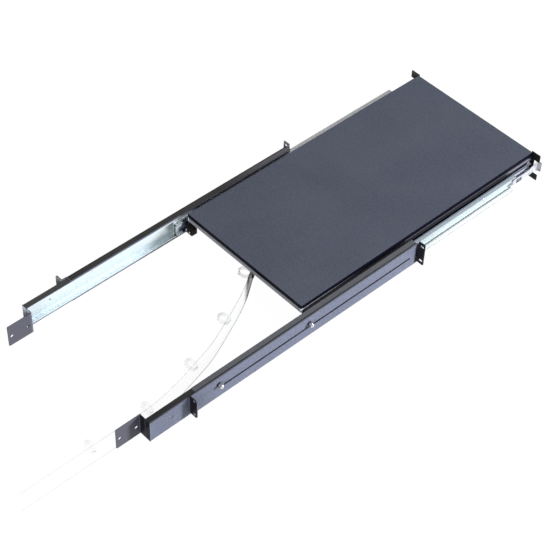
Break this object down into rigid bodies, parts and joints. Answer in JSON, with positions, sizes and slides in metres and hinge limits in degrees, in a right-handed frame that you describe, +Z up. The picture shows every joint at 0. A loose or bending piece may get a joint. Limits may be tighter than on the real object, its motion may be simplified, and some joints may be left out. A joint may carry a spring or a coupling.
{
  "type": "sliding rack shelf",
  "caption": "Steel shelf on ball-bearing telescopic slides in depth-adjustable side rails for a 19 inch rack, with latch levers and a cable band.",
  "frame": {"origin": "centre of the four front mounting slots, on the plane where the front ears meet the rack", "axes": "+Z up, +X to the right seen from the front of the rack, +Y to the rear; the front is at -Y"},
  "size_m": [0.49, 1.5617, 0.08],
  "materials": {
    "rail_paint": "satin black powder coat",
    "shelf_paint": "fine-textured satin blue-black powder coat",
    "slide_zinc": "bright zinc-plated rolled steel",
    "bright_zinc": "bright zinc plate",
    "black_oxide": "matt black",
    "cage_steel": "plain cold-rolled strip",
    "ball_steel": "polished ball steel",
    "lever_steel": "nickel-plated spring steel",
    "clear_band": "translucent flexible plastic strip",
    "ring_plastic": "natural nylon"
  },
  "bodies": {
    "rails": {"right_rail": "rail_paint", "right_rail_bolts": "bright_zinc", "right_rail_washers": "black_oxide", "right_outer_member": "slide_zinc", "left_rail": "rail_paint", "left_rail_bolts": "bright_zinc", "left_rail_washers": "black_oxide", "left_outer_member": "slide_zinc"},
    "shelf_carriage": {"shelf": "shelf_paint", "shelf_stiffeners": "shelf_paint", "stop_block": "black_oxide", "stop_block_screws": "bright_zinc", "cable_band": "clear_band", "cable_rings": "ring_plastic", "band_clamp": "black_oxide", "right_inner_member": "slide_zinc", "right_inner_screws": "bright_zinc", "right_lever_pivot": "bright_zinc", "right_shelf_ear": "black_oxide", "right_ear_rivets": "bright_zinc", "left_inner_member": "slide_zinc", "left_inner_screws": "bright_zinc", "left_lever_pivot": "bright_zinc", "left_shelf_ear": "black_oxide", "left_ear_rivets": "bright_zinc"},
    "right_mid_slide": {"right_mid_channel": "slide_zinc", "right_mid_carrier": "slide_zinc", "right_mid_rivets": "bright_zinc"},
    "right_outer_cage": {"right_outer_cage": "cage_steel", "right_outer_balls": "ball_steel"},
    "right_inner_cage": {"right_inner_cage": "cage_steel", "right_inner_balls": "ball_steel"},
    "right_lever": {"right_latch_lever": "lever_steel"},
    "right_extension": {"right_rear_bracket": "rail_paint"},
    "left_mid_slide": {"left_mid_channel": "slide_zinc", "left_mid_carrier": "slide_zinc", "left_mid_rivets": "bright_zinc"},
    "left_outer_cage": {"left_outer_cage": "cage_steel", "left_outer_balls": "ball_steel"},
    "left_inner_cage": {"left_inner_cage": "cage_steel", "left_inner_balls": "ball_steel"},
    "left_lever": {"left_latch_lever": "lever_steel"},
    "left_extension": {"left_rear_bracket": "rail_paint"}
  },
  "joints": [
    {"name": "shelf_slide", "type": "slide", "parent": "rails", "child": "shelf_carriage", "axis": [0, -1, 0], "range_m": [-0.432, 0.245]},
    {"name": "right_mid_travel", "type": "slide", "parent": "rails", "child": "right_mid_slide", "axis": [0, -1, 0], "range_m": [-0.36, 0.205]},
    {"name": "right_outer_cage_travel", "type": "slide", "parent": "rails", "child": "right_outer_cage", "axis": [0, -1, 0], "range_m": [-0.181, 0.104]},
    {"name": "right_inner_cage_travel", "type": "slide", "parent": "rails", "child": "right_inner_cage", "axis": [0, -1, 0], "range_m": [-0.397, 0.226]},
    {"name": "right_latch", "type": "hinge", "parent": "shelf_carriage", "child": "right_lever", "pos_m": [0.2075, -0.4132, -0.009], "axis": [1, 0, 0], "range_deg": [0, 8], "stiffness_Nm_per_rad": 0.4, "springref_deg": -6.88},
    {"name": "right_depth_adjust", "type": "slide", "parent": "rails", "child": "right_extension", "axis": [0, 1, 0], "range_m": [0, 0.08]},
    {"name": "left_mid_travel", "type": "slide", "parent": "rails", "child": "left_mid_slide", "axis": [0, -1, 0], "range_m": [-0.36, 0.205]},
    {"name": "left_outer_cage_travel", "type": "slide", "parent": "rails", "child": "left_outer_cage", "axis": [0, -1, 0], "range_m": [-0.181, 0.104]},
    {"name": "left_inner_cage_travel", "type": "slide", "parent": "rails", "child": "left_inner_cage", "axis": [0, -1, 0], "range_m": [-0.397, 0.226]},
    {"name": "left_latch", "type": "hinge", "parent": "shelf_carriage", "child": "left_lever", "pos_m": [-0.2075, -0.4132, -0.009], "axis": [1, 0, 0], "range_deg": [0, 8], "stiffness_Nm_per_rad": 0.4, "springref_deg": -6.88},
    {"name": "left_depth_adjust", "type": "slide", "parent": "rails", "child": "left_extension", "axis": [0, 1, 0], "range_m": [0, 0.08]}
  ],
  "couplings": [
    {"joint": "right_mid_travel", "follows": "shelf_slide", "ratio": 0.83},
    {"joint": "right_outer_cage_travel", "follows": "shelf_slide", "ratio": 0.415},
    {"joint": "right_inner_cage_travel", "follows": "shelf_slide", "ratio": 0.915},
    {"joint": "left_mid_travel", "follows": "shelf_slide", "ratio": 0.83},
    {"joint": "left_outer_cage_travel", "follows": "shelf_slide", "ratio": 0.415},
    {"joint": "left_inner_cage_travel", "follows": "shelf_slide", "ratio": 0.915}
  ]
}
